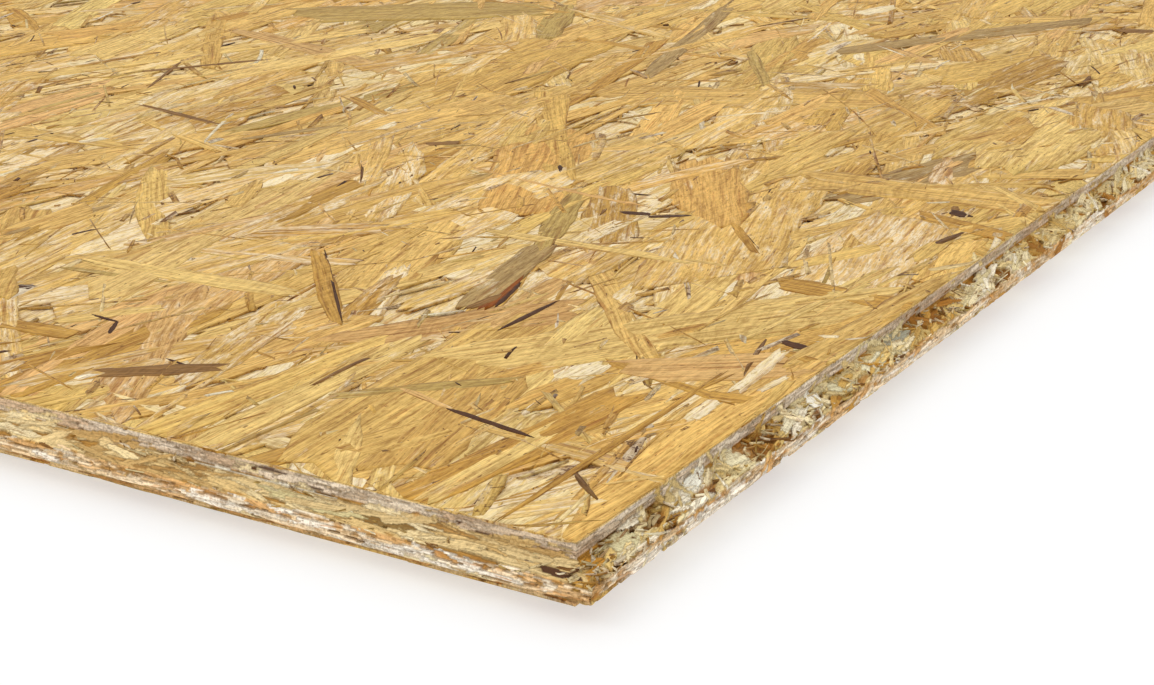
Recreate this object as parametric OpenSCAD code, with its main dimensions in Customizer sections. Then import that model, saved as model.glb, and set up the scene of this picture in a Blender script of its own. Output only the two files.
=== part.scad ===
// Oriented strand board (OSB) panel with a tongue and groove on all four edges.
// One long edge and one short edge carry the tongue, and the edges opposite them carry the groove.
// +X runs along the panel, +Y across it and +Z up through its thickness.
// The origin is on the underside, at the middle of the overall length and width.

/* [Panel] */
// Overall length, from the short edge's tongue to the short edge with the groove
panel_l = 2500; // [1200:10:3000]
// Overall width, from the long edge's tongue to the long edge with the groove
panel_w = 675; // [300:5:1250]
// Thickness of the board
thick = 18; // [15:1:25]

/* [Tongue] */
// How far the tongue stands out of the edge
tongue_out = 10; // [6:0.5:12]
// Thickness of the tongue where it leaves the edge
tongue_root = 9; // [7:0.5:10]
// Thickness of the tongue at its nose
tongue_nose = 5; // [4:0.5:6]
// Bevel on both corners of the nose
nose_bevel = 0.6; // [0.2:0.2:1.4]

/* [Groove] */
// Gap left between the tongue's nose and the floor of the groove
floor_gap = 1; // [0.5:0.5:2]
// Gap left between each flank of the tongue and the groove
side_gap = 0.3; // [0.1:0.1:0.6]

/* [Hidden] */

// Middle plane of the board, on which the tongues and the grooves are centred
mid = thick / 2;

// The tongue's flanks lean in by this much for each millimetre that it stands out
lean = (tongue_root - tongue_nose) / 2 / tongue_out;

// The groove follows the tongue's flanks, so it narrows at the same rate
groove_deep = tongue_out + floor_gap;
groove_mouth = tongue_root + 2 * side_gap;
groove_floor = groove_mouth - 2 * lean * groove_deep;

// Outline of the board across a pair of opposite edges, as [across, up].
// The low end has the tongue and the high end has the groove.
function milled_outline(span) =
    let (
        nose = -span / 2,
        cheek = nose + tongue_out,
        mouth = span / 2,
        bottom = mouth - groove_deep,
        bevel_top = tongue_nose / 2 + lean * nose_bevel
    )
    [
        // upper cheek, then round the tongue to the lower cheek
        [cheek, thick],
        [cheek, mid + tongue_root / 2],
        [nose + nose_bevel, mid + bevel_top],
        [nose, mid + tongue_nose / 2 - nose_bevel],
        [nose, mid - tongue_nose / 2 + nose_bevel],
        [nose + nose_bevel, mid - bevel_top],
        [cheek, mid - tongue_root / 2],
        [cheek, 0],
        // lower lip, the groove, then the upper lip
        [mouth, 0],
        [mouth, mid - groove_mouth / 2],
        [bottom, mid - groove_floor / 2],
        [bottom, mid + groove_floor / 2],
        [mouth, mid + groove_mouth / 2],
        [mouth, thick]
    ];

// Board with its two long edges milled, running along X
module long_edges_milled() {
    rotate([90, 0, 90])
        linear_extrude(height = panel_l, center = true)
            polygon(milled_outline(panel_w));
}

// Board with its two short edges milled, running along Y
module short_edges_milled() {
    rotate([90, 0, 0])
        linear_extrude(height = panel_w, center = true)
            polygon(milled_outline(panel_l));
}

// The cutters run right through each corner, so the panel is what both passes leave
module panel() {
    color("#cfa45c")
        intersection() {
            long_edges_milled();
            short_edges_milled();
        }
}

panel();
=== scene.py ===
import math

import bpy
import numpy as np
from mathutils import Matrix, Vector


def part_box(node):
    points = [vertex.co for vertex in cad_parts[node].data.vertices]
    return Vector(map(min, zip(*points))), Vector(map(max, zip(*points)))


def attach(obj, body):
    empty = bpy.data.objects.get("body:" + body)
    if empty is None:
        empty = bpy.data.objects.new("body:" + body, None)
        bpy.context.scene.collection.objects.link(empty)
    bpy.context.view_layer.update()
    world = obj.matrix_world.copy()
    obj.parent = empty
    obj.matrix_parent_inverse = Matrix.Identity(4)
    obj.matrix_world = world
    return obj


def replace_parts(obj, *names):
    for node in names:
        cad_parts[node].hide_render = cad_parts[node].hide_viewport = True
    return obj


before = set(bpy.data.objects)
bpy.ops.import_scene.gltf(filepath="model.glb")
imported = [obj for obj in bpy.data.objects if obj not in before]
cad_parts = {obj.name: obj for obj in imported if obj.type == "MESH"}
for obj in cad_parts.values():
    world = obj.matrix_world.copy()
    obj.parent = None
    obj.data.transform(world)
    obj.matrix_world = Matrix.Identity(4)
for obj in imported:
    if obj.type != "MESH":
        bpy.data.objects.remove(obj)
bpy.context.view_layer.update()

# The board's milled profile, in metres. The board itself fills the CAD node's box.
board = {
    "tongueOut": 0.010,
    "tongueRoot": 0.009,
    "tongueNose": 0.005,
    "bevel": 0.0006,
    "grooveDeep": 0.011,
    "grooveMouth": 0.0096,
    "grooveFloor": 0.0052,
}
low, high = (np.array(corner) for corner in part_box("panel"))
thick = high[2] - low[2]
mid = thick / 2
faceLow = low[:2] + board["tongueOut"]  # the flat faces stop at the cheeks
faceHigh = high[:2].copy()
mm = 0.001
rootHalf, noseHalf = board["tongueRoot"] / 2, board["tongueNose"] / 2
mouthHalf, floorHalf = board["grooveMouth"] / 2, board["grooveFloor"] / 2


def linear(colour):
    # sRGB 0-255 to linear light: ((c + 0.055) / 1.055) ^ 2.4, or c / 12.92 near black
    c = np.asarray(colour, float) / 255
    return np.where(c > 0.04045, ((c + 0.055) / 1.055) ** 2.4, c / 12.92)


def scrambled(*parts):
    # A repeatable number from 0 to 1 for whole-number cells: the fraction of 43758.5 sin(parts * constants)
    total = sum(p * k for p, k in zip(parts, (12.9898, 78.233, 37.719, 93.9898)))
    return np.mod(np.sin(total) * 43758.5453, 1.0)


def softNoise(points, size, seed=0):
    # Value noise: cell corners get scrambled heights, blended by 3t^2 - 2t^3 along each axis
    q = points / np.asarray(size, float)
    cell = np.floor(q)
    t = q - cell
    t = t * t * (3 - 2 * t)
    total = 0
    for steps in np.ndindex(2, 2, 2):
        weight = 1
        for axis, step in enumerate(steps):
            weight = weight * (t[..., axis] if step else 1 - t[..., axis])
        total = total + weight * scrambled(*(cell[..., axis] + step for axis, step in enumerate(steps)), seed)
    return total


def smoothStep(a, b, x):
    # 0 below a, 1 above b, and 3t^2 - 2t^3 between
    t = np.clip((x - a) / (b - a), 0, 1)
    return t * t * (3 - 2 * t)


def runningSum(steps):
    return np.concatenate([[0], np.cumsum(steps)])


def inScene(name, data):
    obj = bpy.data.objects.new(name, data)
    bpy.context.scene.collection.objects.link(obj)
    return obj


def joined(batches):
    # Several batches as one, with the later corner numbers moved on by the points before them
    out, count = {}, 0
    for batch in batches:
        for key, value in batch.items():
            out.setdefault(key, []).append(value + count if key == "corners" else value)
        count += len(batch["points"])
    return {key: np.concatenate(value) for key, value in out.items()}


def gridFaces(a, b):
    # The quads of an a by b grid of points, and the loop of points round its rim
    number = np.arange(a * b).reshape(a, b)
    quads = np.stack([number[:-1, :-1], number[1:, :-1], number[1:, 1:], number[:-1, 1:]], -1)
    loop = np.concatenate([number[:-1, 0], number[-1, :-1], number[:0:-1, -1], number[0, :0:-1]])
    return quads.reshape(-1, 4), loop


triangleCount = []


def makePiece(name, batch, material):
    # One mesh from whole arrays: points, corners per face, the corners' points, maps and marks on the points
    mesh = bpy.data.meshes.new(name)
    mesh.vertices.add(len(batch["points"]))
    mesh.vertices.foreach_set("co", batch["points"].astype(np.float32).ravel())
    mesh.loops.add(len(batch["corners"]))
    mesh.loops.foreach_set("vertex_index", batch["corners"].astype(np.int32))
    mesh.polygons.add(len(batch["sizes"]))
    mesh.polygons.foreach_set("loop_start", runningSum(batch["sizes"])[:-1].astype(np.int32))
    mesh.update(calc_edges=True)
    mesh.polygons.foreach_set("use_smooth", batch["smooth"].astype(bool))
    for mapName in ("grain", "OFBake"):
        if mapName in batch:
            layer = mesh.uv_layers.new(name=mapName)
            layer.uv.foreach_set("vector", batch[mapName].astype(np.float32).ravel())
    for mark in ("tint", "habit", "depth", "band", "way"):
        if mark in batch:
            wide = np.ones((len(batch[mark]), 4), np.float32)
            wide[:, :3] = batch[mark]
            mesh.attributes.new(mark, "FLOAT_COLOR", "POINT").data.foreach_set("color", wide.ravel())
    mesh.materials.append(material)
    obj = inScene(name, mesh)
    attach(obj, "root")
    triangleCount.append(int((batch["sizes"] - 2).sum()))
    return obj


class Wiring:
    # Short hands for a node tree: each call adds its node and gives back that node's output
    def __init__(self, name):
        self.material = bpy.data.materials.new(name)
        self.material.use_nodes = True
        self.tree = self.material.node_tree
        self.shader = self.tree.nodes["Principled BSDF"]

    def put(self, socket, value):
        if isinstance(value, bpy.types.NodeSocket):
            self.tree.links.new(value, socket)
        else:
            socket.default_value = (*value, 1) if socket.type == "RGBA" else value

    def node(self, kind, out=0, inputs=None, **settings):
        n = self.tree.nodes.new("ShaderNode" + kind)
        for key, value in settings.items():
            setattr(n, key, value)
        for key, value in (inputs or {}).items():
            self.put(n.inputs[key], value)
        return n.outputs[out]

    def sum(self, operation, *values):
        return self.node("Math", operation=operation, inputs=dict(enumerate(values)))

    def plus(self, a, b):
        return self.sum("ADD", a, b)

    def times(self, a, b):
        return self.sum("MULTIPLY", a, b)

    def vector(self, operation, a, b):
        return self.node("VectorMath", operation=operation, inputs={0: a, 1: b})

    def shade(self, colour, light):
        return self.vector("MULTIPLY", colour, self.node("CombineXYZ", inputs={0: light, 1: light, 2: light}))

    def mapped(self, at, scale, move=(0, 0, 0), turn=0.0):
        inputs = {"Vector": at, "Scale": scale, "Location": move, "Rotation": (0, 0, turn)}
        return self.node("Mapping", inputs=inputs)

    def noise(self, at, scale=1.0, detail=2.0, rough=0.5, twist=0.0, out="Fac"):
        inputs = {"Vector": at, "Scale": scale, "Detail": detail, "Roughness": rough, "Distortion": twist}
        return self.node("TexNoise", out=out, inputs=inputs)

    def drift(self, at, scale, detail, reach):
        # a small wandering offset, at most reach along each axis
        return self.mapped(self.noise(at, scale, detail, out="Color"), reach)

    def span(self, value, a, b, c=0.0, d=1.0):
        # value from a to b becomes c to d
        inputs = {"Value": value, "From Min": a, "From Max": b, "To Min": c, "To Max": d}
        return self.node("MapRange", inputs=inputs)

    def mix(self, amount, a, b, blend="MIX"):
        return self.node("Mix", out=2, data_type="RGBA", blend_type=blend, inputs={0: amount, 6: a, 7: b})

    def parts(self, colour):
        n = self.tree.nodes.new("ShaderNodeSeparateColor")
        self.put(n.inputs[0], colour)
        return n.outputs[:3]

    def mark(self, name):
        return self.node("Attribute", out="Color", attribute_name=name)

    def finish(self, colour, rough, height, s):
        self.put(self.shader.inputs["Base Color"], colour)
        self.put(self.shader.inputs["Roughness"], rough)
        self.put(self.shader.inputs["Specular IOR Level"], s["gloss"])
        inputs = {"Strength": s["bumpStrength"], "Distance": s["bumpReach"], "Height": height}
        self.put(self.shader.inputs["Normal"], self.node("Bump", inputs=inputs))
        return self.material


strandLook = {
    # along the grain: scale along and across it per metre, lift, detail, roughness and distortion
    "grain": {
        "fibre": ((120, 1700), 0, 3, 0.6, 0),
        "streak": ((24, 480), 3, 4, 0.62, 0.3),
        "tone": ((7, 80), 7, 3, 0.55, 0),
        "line": ((20, 520), 9, 3, 0.6, 0),
        "tear": ((46, 300), 5, 5, 0.72, 0.5),
        "spark": ((300, 1300), 15, 2, 0.6, 0),
        "fleck": ((190, 900), 11, 1, 0.5, 0),
    },
    # over the whole board: scale per metre, detail and roughness
    "board": {"broad": (14, 3, 0.6), "patch": (60, 3, 0.6), "mottle": (420, 4, 0.7), "pinhole": (640, 1, 0.5)},
    "sway": ((14, 40, 1), (0.004, 0.0075, 0)),  # scale, and how far the grain wanders
    "bend": (22, (0, 0.018, 0)),
    "hair": ((60, 620, 60), 0.12),  # fine lines that run on under neighbouring strands: scale and turn
    "slant": ((30, 780, 1), 0.17),
    "fibreLight": (0.30, 0.87),
    # noise from and to, and the light that it gives
    "light": {
        "streak": (0.3, 0.7, 0.86, 1.12),
        "hair": (0.32, 0.68, 0.85, 1.14),
        "slant": (0.36, 0.56, 0.82, 1.04),
        "tone": (0.3, 0.7, 0.90, 1.08),
        "broad": (0.3, 0.7, 0.96, 1.04),
        "patch": (0.3, 0.7, 0.95, 1.05),
        "mottle": (0.3, 0.7, 0.90, 1.10),
    },
    # cream: torn fibres, and painted sheen highlights
    "cream": (252, 238, 206),
    # gap: painted shade in the cracks between strands
    "gap": (88, 54, 26),
    "fleck": (98, 58, 24),
    "pinhole": (84, 50, 22),
    # what multiplies the wood's colour
    "brownGrain": (0.74, 0.57, 0.33),
    # the rim's darkening: resin and dust, and painted shade at the strands' steps
    "rim": (0.35, 0.20, 0.12),
    "line": (0.55, 0.37, 0.23),
    "dash": (0.57, 0.34, 0.24),
    "bumpReach": 0.00013,
    "bumpStrength": 0.9,
    "gloss": 0.09,
}


def strandMaterial(s):
    # Straight grain along each strand's own u, swayed a little: noises of several widths, brown lines, rims
    # darkened by resin and by painted shade, and cream where fibres are torn up, which is also painted sheen
    w = Wiring("pressedStrand")
    flat = w.node("UVMap", uv_map="grain")
    sway = w.noise(w.mapped(flat, s["sway"][0]), detail=1, out="Color")
    grain = w.vector("ADD", flat, w.mapped(sway, s["sway"][1]))
    pale, warm, rim = w.parts(w.mark("habit"))
    edge = w.parts(w.mark("depth"))[0]
    place = w.node("TexCoord", out="Object")
    bent = w.vector("ADD", place, w.drift(place, s["bend"][0], 2, s["bend"][1]))
    n = {name: w.noise(place, *kind) for name, kind in s["board"].items()}
    for name, (scale, lift, *kind) in s["grain"].items():
        n[name] = w.noise(w.mapped(grain, (*scale, 1), (0, 0, lift)), 1.0, *kind)
    n["hair"] = w.noise(w.mapped(bent, s["hair"][0], turn=s["hair"][1]), detail=4, rough=0.66)
    n["slant"] = w.noise(w.mapped(grain, s["slant"][0], turn=s["slant"][1]), detail=3, rough=0.6)

    light = w.sum("MULTIPLY_ADD", w.span(n["fibre"], 0.3, 0.7), *s["fibreLight"])
    for name, limits in s["light"].items():
        light = w.times(light, w.span(n[name], *limits))
    colour = w.shade(w.mark("tint"), light)
    # the darker grain is browner, and some strands are warmer than others
    brown = w.plus(w.span(light, 0.70, 0.98, 0.6, 0.0), w.times(w.span(warm, 0.45, 1.0), 0.14))
    colour = w.mix(brown, colour, s["brownGrain"], "MULTIPLY")
    # cream where fibres are torn up, which also stands for painted sheen highlights, in patches, and much more of
    # it on the paler strands below
    torn = w.plus(n["tear"], w.plus(w.times(pale, 0.34), w.times(n["patch"], 0.3)))
    cream = w.times(w.span(torn, 0.80, 1.0), w.span(n["spark"], 0.36, 0.6, 0.12, 1.0))
    colour = w.mix(w.times(cream, 0.85), colour, linear(s["cream"]))
    # resin and dust darken the rim, here and there, and so does painted shade where a strand steps down onto the
    # ones below
    rimNoise = w.sum("MULTIPLY_ADD", w.plus(n["patch"], w.times(n["mottle"], 0.5)), 2.2, -1.4)
    resinAndStepShade = w.times(w.span(edge, 0.05, 0.7, 1.0, 0.0), w.span(rimNoise, 0.0, 0.5))
    resinAndStepShade = w.times(resinAndStepShade, w.sum("MULTIPLY_ADD", rim, 0.55, 0.15))
    colour = w.mix(resinAndStepShade, colour, s["rim"], "MULTIPLY")
    # short dark gaps along the rim, which are painted shade in the cracks between strands; thin brown lines along
    # the grain, dashes, small dark flecks and pinholes
    gap = w.times(w.span(edge, 0.0, 0.4, 1.0, 0.0), w.span(n["mottle"], 0.54, 0.61))
    colour = w.mix(w.times(gap, w.span(n["patch"], 0.42, 0.6, 0.25, 0.9)), colour, linear(s["gap"]))
    thin = w.times(w.span(n["line"], 0.52, 0.66), w.span(n["patch"], 0.36, 0.6, 0.25, 0.82))
    colour = w.mix(thin, colour, s["line"], "MULTIPLY")
    dash = w.times(w.span(n["spark"], 0.56, 0.68), w.span(n["tear"], 0.4, 0.62, 0.66, 0.2))
    colour = w.mix(dash, colour, s["dash"], "MULTIPLY")
    colour = w.mix(w.span(n["fleck"], 0.70, 0.75, 0.0, 0.75), colour, linear(s["fleck"]))
    colour = w.mix(w.span(n["pinhole"], 0.76, 0.80, 0.0, 0.75), colour, linear(s["pinhole"]))
    height = w.plus(w.times(n["fibre"], 0.7), w.times(n["streak"], 0.5))
    height = w.plus(height, w.times(w.times(cream, n["spark"]), 0.9))
    height = w.sum("SUBTRACT", height, w.times(thin, 0.2))
    return w.finish(colour, w.span(n["fibre"], 0.3, 0.7, 0.74, 0.52), height, s)


edgeLook = {
    "layer": 0.00075,  # pressed thickness of one strand
    "fibre": (75, 1250, 1),  # along and across the grain, per metre
    "wave": (60, (0.012, 0.012, 0.0016)),
    "swing": (130, (0, 0.0016, 0)),
    "ochre": (166, 116, 50),
    "speck": (98, 62, 34),
    "rust": (216, 148, 76),
    "warmPit": (166, 104, 38),
    # painted shade in the deepest cavities
    "pitShade": (74, 42, 14),
    "bumpReach": 0.00035,
    "bumpStrength": 1.0,
    "gloss": 0.12,
}


def edgeMaterial(s):
    # The chip's own colour, times fibres along the chip's own grain, thin pressed layers and pores. Cavities go
    # brown, the torn wood's colour, and then dark with their depth in millimetres, which is painted shade.
    w = Wiring("milledEdge")
    at = w.node("TexCoord", out="Object")
    depth = w.parts(w.mark("depth"))[0]
    cheek, _, nose = w.parts(w.mark("band"))
    bent = w.vector("ADD", at, w.drift(at, s["wave"][0], 2, s["wave"][1]))

    def stretched(x, y, z, lift, detail, rough=0.5):
        return w.noise(w.mapped(bent, (x, y, z), (lift, 0, 0)), 1.0, detail, rough)

    # each chip has its own grain, in metres along and across it
    grain = w.vector("ADD", w.mark("way"), w.drift(at, s["swing"][0], 1, s["swing"][1]))
    fibre = w.noise(w.mapped(grain, s["fibre"]), detail=3, rough=0.66)
    layers = stretched(28, 28, 1 / s["layer"], 5, 2, 0.6)
    stipple = w.noise(at, 1150, 2, 0.65)
    blot = w.noise(at, 110, 3, 0.6)
    pore = stretched(520, 520, 1500, 9, 1)

    light = w.span(fibre, 0.32, 0.68, w.span(cheek, 0, 1, 0.70, 0.86), w.span(cheek, 0, 1, 1.18, 1.08))
    light = w.times(light, w.span(stipple, 0.34, 0.66, w.span(cheek, 0, 1, 0.84, 0.78), 1.16))
    light = w.times(light, w.span(blot, 0.3, 0.7, 0.96, 1.18))
    upright = w.sum("MAXIMUM", cheek, nose)
    light = w.times(light, w.span(upright, 0, 1, 1.0, w.span(layers, 0.32, 0.68, 0.92, 1.05)))
    colour = w.shade(w.mark("tint"), light)
    # ochre where the fibres lie dark
    colour = w.mix(w.span(light, 0.62, 0.95, 0.6, 0.0), colour, linear(s["ochre"]))
    # pores on the cheeks, pits on the nose and some rust-coloured grain there
    hole = w.times(w.span(pore, 0.64, 0.74), w.span(upright, 0, 1, 0.25, 0.7))
    colour = w.mix(w.times(hole, w.span(blot, 0.4, 0.6, 0.3, 1.0)), colour, linear(s["speck"]))
    rust = w.times(w.span(stretched(120, 120, 900, 17, 2, 0.7), 0.58, 0.68), w.span(nose, 0, 1, 0.0, 0.55))
    colour = w.mix(rust, colour, linear(s["rust"]))
    # torn cavities go brown, the torn wood's own colour, and then dark as they get deeper, which is painted shade
    colour = w.mix(w.span(depth, 0.55, 1.3, 0.0, 0.7), colour, linear(s["warmPit"]))
    colour = w.mix(w.span(depth, 1.2, 2.4, 0.0, 0.85), colour, linear(s["pitShade"]))
    height = w.plus(fibre, w.times(stipple, 0.35))
    height = w.plus(height, w.times(w.times(layers, upright), 0.5))
    height = w.sum("SUBTRACT", height, w.times(hole, 0.6))
    return w.finish(colour, w.span(fibre, 0.3, 0.7, 0.86, 0.66), height, s)


pressedStrand = strandMaterial(strandLook)
milledEdge = edgeMaterial(edgeLook)
print("materials made")

tints = {
    "gold": (220, 181, 102),
    "honey": (213, 170, 90),
    "straw": (226, 192, 116),
    "cream": (232, 208, 150),
    "tan": (194, 149, 68),
    "rose": (214, 172, 106),
    "olive": (188, 158, 88),
    "grey": (172, 142, 88),
    "brown": (142, 104, 54),
    "bark": (80, 48, 24),
    "knot": (138, 74, 12),
    "pith": (242, 230, 196),
    "flesh": (224, 206, 156),
}
tintNames = list(tints)
tintTable = np.array([linear(tints[name]) for name in tintNames])

strandMix = {
    "share": {"gold": 0.47, "honey": 0.22, "straw": 0.14, "tan": 0.05, "rose": 0.07, "olive": 0.008,
              "grey": 0.002},
    "lowShare": {"cream": 0.16, "straw": 0.44, "gold": 0.34, "tan": 0.06},
    "lowest": 0.38,  # the share of the strands that lie low, pale and torn, and that carry most of the painted sheen
    "length": (0.104, 0.32, 0.040, 0.190),  # middle, spread, least, most
    "width": (0.0155, 0.5, 0.004, 0.044),
    "turn": 17.0,  # degrees off the board's length
    "crossed": 0.15,
    "cover": 2.7,  # how many strands lie over each spot
    "step": (0.00024, 0.00009),  # how far below the face the lowest and highest lie
    "lean": (0.00006, 0.00004),
    "deep": 0.0006,
    "uneven": 0.05,
}
sliverMix = {
    "share": {"gold": 0.28, "honey": 0.24, "straw": 0.22, "cream": 0.12, "pith": 0.05, "tan": 0.07,
              "brown": 0.03, "olive": 0.02, "bark": 0.01},
    "length": (0.021, 0.55, 0.006, 0.075),
    "width": (0.0014, 0.6, 0.0005, 0.006),
    "turn": 24.0,
    "crossed": 0.22,
    "step": (0.00013, 0.00003),
    "lean": (0.00003, 0.00002),
    "deep": 0.0005,
    "uneven": 0.07,
}
crumbMix = {
    **sliverMix,
    "share": {"cream": 0.34, "straw": 0.22, "tan": 0.14, "brown": 0.14, "bark": 0.11, "grey": 0.05},
    "length": (0.0044, 0.5, 0.0016, 0.013),
    "width": (0.0011, 0.5, 0.0005, 0.0032),
    "turn": 30.0,
    "crossed": 0.3,
    "uneven": 0.12,
}


def spread(rng, n, kind):
    # exp(log(middle) + spread * normal), kept between least and most
    middle, wide, least, most = kind
    return np.clip(middle * np.exp(wide * rng.standard_normal(n)), least, most)


def flatAxes(turn):
    # along, across and up for a strand that lies flat: (cos, sin, 0), (-sin, cos, 0) and +Z
    c, s, o = np.cos(turn), np.sin(turn), np.zeros_like(turn)
    return np.array([(c, s, o), (-s, c, o), (o, o, o + 1)]).transpose(2, 0, 1)


def drawTints(rng, share, n):
    # n rows of the tint table, drawn by share
    weights = np.array(list(share.values()))
    return rng.choice([tintNames.index(name) for name in share], n, p=weights / weights.sum())


def drawRows(rng, centres, kinds):
    # The size, turn, colour and habits of one strand for each centre
    n = len(centres)
    pick = drawTints(rng, kinds["share"], n)
    turn = np.radians(kinds["turn"]) * rng.standard_normal(n)
    crossed = rng.random(n) < kinds["crossed"]
    turn = np.where(crossed, rng.uniform(-1.6, 1.6, n), turn)
    length = spread(rng, n, kinds["length"])
    width = np.minimum(spread(rng, n, kinds["width"]), length * 0.32) * np.where(crossed, 0.6, 1.0)
    colour = tintTable[pick] * np.exp(kinds["uneven"] * rng.standard_normal((n, 1)))
    colour = colour * np.exp(0.012 * rng.standard_normal((n, 3)))
    return {
        "centre": np.column_stack([centres, np.zeros(n)]),
        "axes": flatAxes(turn),
        "length": length,
        "width": width,
        "bend": 0.018 * rng.standard_normal(n) * length,
        "taper": 0.75 * rng.random(n) ** 2.4,
        "skew": 0.7 * rng.standard_normal(n),
        "tint": colour,
        # habit: pale is the cream of torn fibres and painted sheen, then warmth, then how much resin and painted
        # shade darken the rim
        "habit": np.column_stack([rng.random(n) ** 2.2 * 0.75, rng.random(n), rng.random(n)]),
        "lean": rng.standard_normal((n, 2)) * kinds["lean"],
        "phase": rng.uniform(0, 6.283, (n, 8)),
        "shift": rng.uniform(-3, 3, (n, 2)),
        "deep": np.full(n, kinds["deep"]),
        "curl": np.zeros(n),
    }


def gridCentres(rng, lowCorner, highCorner, n):
    # One centre at a random place in each cell of an even grid, in random order
    size = np.asarray(highCorner) - np.asarray(lowCorner)
    columns = max(1, round(math.sqrt(n * size[0] / size[1])))
    lines = max(1, round(n / columns))
    i, j = np.meshgrid(np.arange(columns), np.arange(lines), indexing="ij")
    cell = np.column_stack([i.ravel(), j.ravel()]) + rng.random((columns * lines, 2))
    return (np.asarray(lowCorner) + cell / (columns, lines) * size)[rng.permutation(columns * lines)]


cutting = {
    "waves": (0.08, 0.07),  # how far the sides wave, as shares of the width
    "ragged": (0.055, 0.006),  # how far the ends are ragged: a share of the length, and the most
    "ripple": 0.00003,
    "rolled": 0.00004,  # how far the rim lies below the rest
    "squeeze": 1 / 700,  # what is left of each length past the cut
    "ceiling": 0.000006,
}


def cutLine(p, first, last, cut):
    # Nothing changes inside the cut. What runs past it is squeezed but stays in order, and folds onto nothing.
    over = np.maximum(first + cut - p, 0)
    under = np.maximum(p - last + cut, 0)
    return p + (over - under) * (1 - cutting["squeeze"]), (over + under) > 0


def cutStrands(rows, nAlong, nAcross, limits):
    # u runs from -1 to 1 along the grain and v across it.
    # along = L/2 u + skew W v |u|^5 + ragged end; across = v W/2 (1 - taper u^4)(1 + waves) + bend (u^2 - 1/3)
    # height = level + leans + curl u^2 + waves - rolled rim. The skirt drops straight down to close the piece.
    n = len(rows["length"])
    swing = np.linspace(-math.pi / 2, math.pi / 2, nAlong)
    u = np.sin(swing) if nAlong > 5 else np.linspace(-1, 1, nAlong)
    v = {2: [-1, 1], 3: [-1, 0, 1], 5: [-1, -0.78, 0, 0.78, 1]}[nAcross]
    u, v = (g[None] for g in np.meshgrid(u, np.array(v, float), indexing="ij"))

    def col(key):
        return rows[key][:, None, None]

    phase = rows["phase"][:, :, None, None]
    length, width = col("length"), col("width")
    side = 0.5 * width * (1 - col("taper") * np.abs(u) ** 4)
    slow, quick = cutting["waves"]
    side = side * (1 + slow * np.sin(5 * u + phase[:, 0]) + quick * np.sin(11 * u + 2 * v + phase[:, 1]))
    share, most = cutting["ragged"]
    end = np.sign(u) * np.abs(u) ** 5
    torn = end * np.sin(phase[:, 2] + 37 * v * np.sign(u)) * np.minimum(share * length, most)
    x = 0.5 * length * u + col("skew") * width * v * 0.5 * end + torn
    y = v * side + col("bend") * (u * u - 1 / 3)
    h = col("level") + rows["lean"][:, 0, None, None] * u + rows["lean"][:, 1, None, None] * v
    h = h + cutting["ripple"] * np.sin(x * 90 + phase[:, 3]) * np.sin(y * 400 + phase[:, 4])
    onRim = (np.abs(v) > 0.99) | (np.abs(u) > 0.99)
    h = h + col("curl") * length * (u * u - 0.4) - np.where(onRim, cutting["rolled"], 0.0)
    centre = rows["centre"][:, None, None]
    along, across, up = (rows["axes"][:, k][:, None, None] for k in range(3))
    top = centre + x[..., None] * along + y[..., None] * across + h[..., None] * up
    gone = np.zeros(top.shape[:3], bool)
    for axis in (0, 1):
        top[..., axis], over = cutLine(top[..., axis], limits[0][axis], limits[1][axis], col("cut"))
        gone |= over
    # each strand has a ceiling of its own, so that no two tops share a plane
    top[..., 2] = np.minimum(top[..., 2], limits[1][2] - cutting["ceiling"] * phase[:, 7])
    fromRim = np.minimum(side * (1 - np.abs(v)), 0.5 * length * (1 - np.abs(u)))

    quads, loop = gridFaces(nAlong, nAcross)
    grid, ring = nAlong * nAcross, len(loop)
    under = grid + np.arange(ring)
    skirt = np.stack([under, np.roll(under, -1), np.roll(loop, -1), loop], -1)
    corners = np.concatenate([quads.ravel(), skirt.ravel(), under[::-1]])
    sizes = np.concatenate([np.full(len(quads) + ring, 4), [ring]])
    # the squeezed faces are flat, so that they don't turn the normals of the rest
    smooth = np.zeros((n, len(sizes)), bool)
    smooth[:, : len(quads)] = ~gone.reshape(n, -1)[:, quads].all(-1)
    corners = (corners[None] + (grid + ring) * np.arange(n)[:, None]).ravel()

    def withSkirt(values):
        # the rim's own values again for the skirt's points
        values = values.reshape(n, grid, -1)
        return np.concatenate([values, values[:, loop]], 1)

    points = withSkirt(top)
    points[:, grid:] -= rows["deep"][:, None, None] * rows["axes"][:, 2][:, None]
    points[:, grid:] = np.clip(points[:, grid:], limits[0], limits[1])
    back = top - centre
    flat = withSkirt(np.stack([(back * along).sum(-1), (back * across).sum(-1)], -1))
    placed = flat - flat.min(1, keepdims=True) + rows["place"][:, None]
    return {
        "points": points.reshape(-1, 3),
        "corners": corners,
        "sizes": np.tile(sizes, n),
        "smooth": smooth.ravel(),
        "grain": (flat + rows["shift"][:, None]).reshape(-1, 2)[corners],
        "OFBake": placed.reshape(-1, 2)[corners],
        "tint": np.repeat(rows["tint"], grid + ring, 0),
        "habit": np.repeat(rows["habit"], grid + ring, 0),
        "depth": np.repeat(withSkirt(np.where(onRim, 0.0, fromRim) * 1000).reshape(-1, 1), 3, 1),
    }


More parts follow.
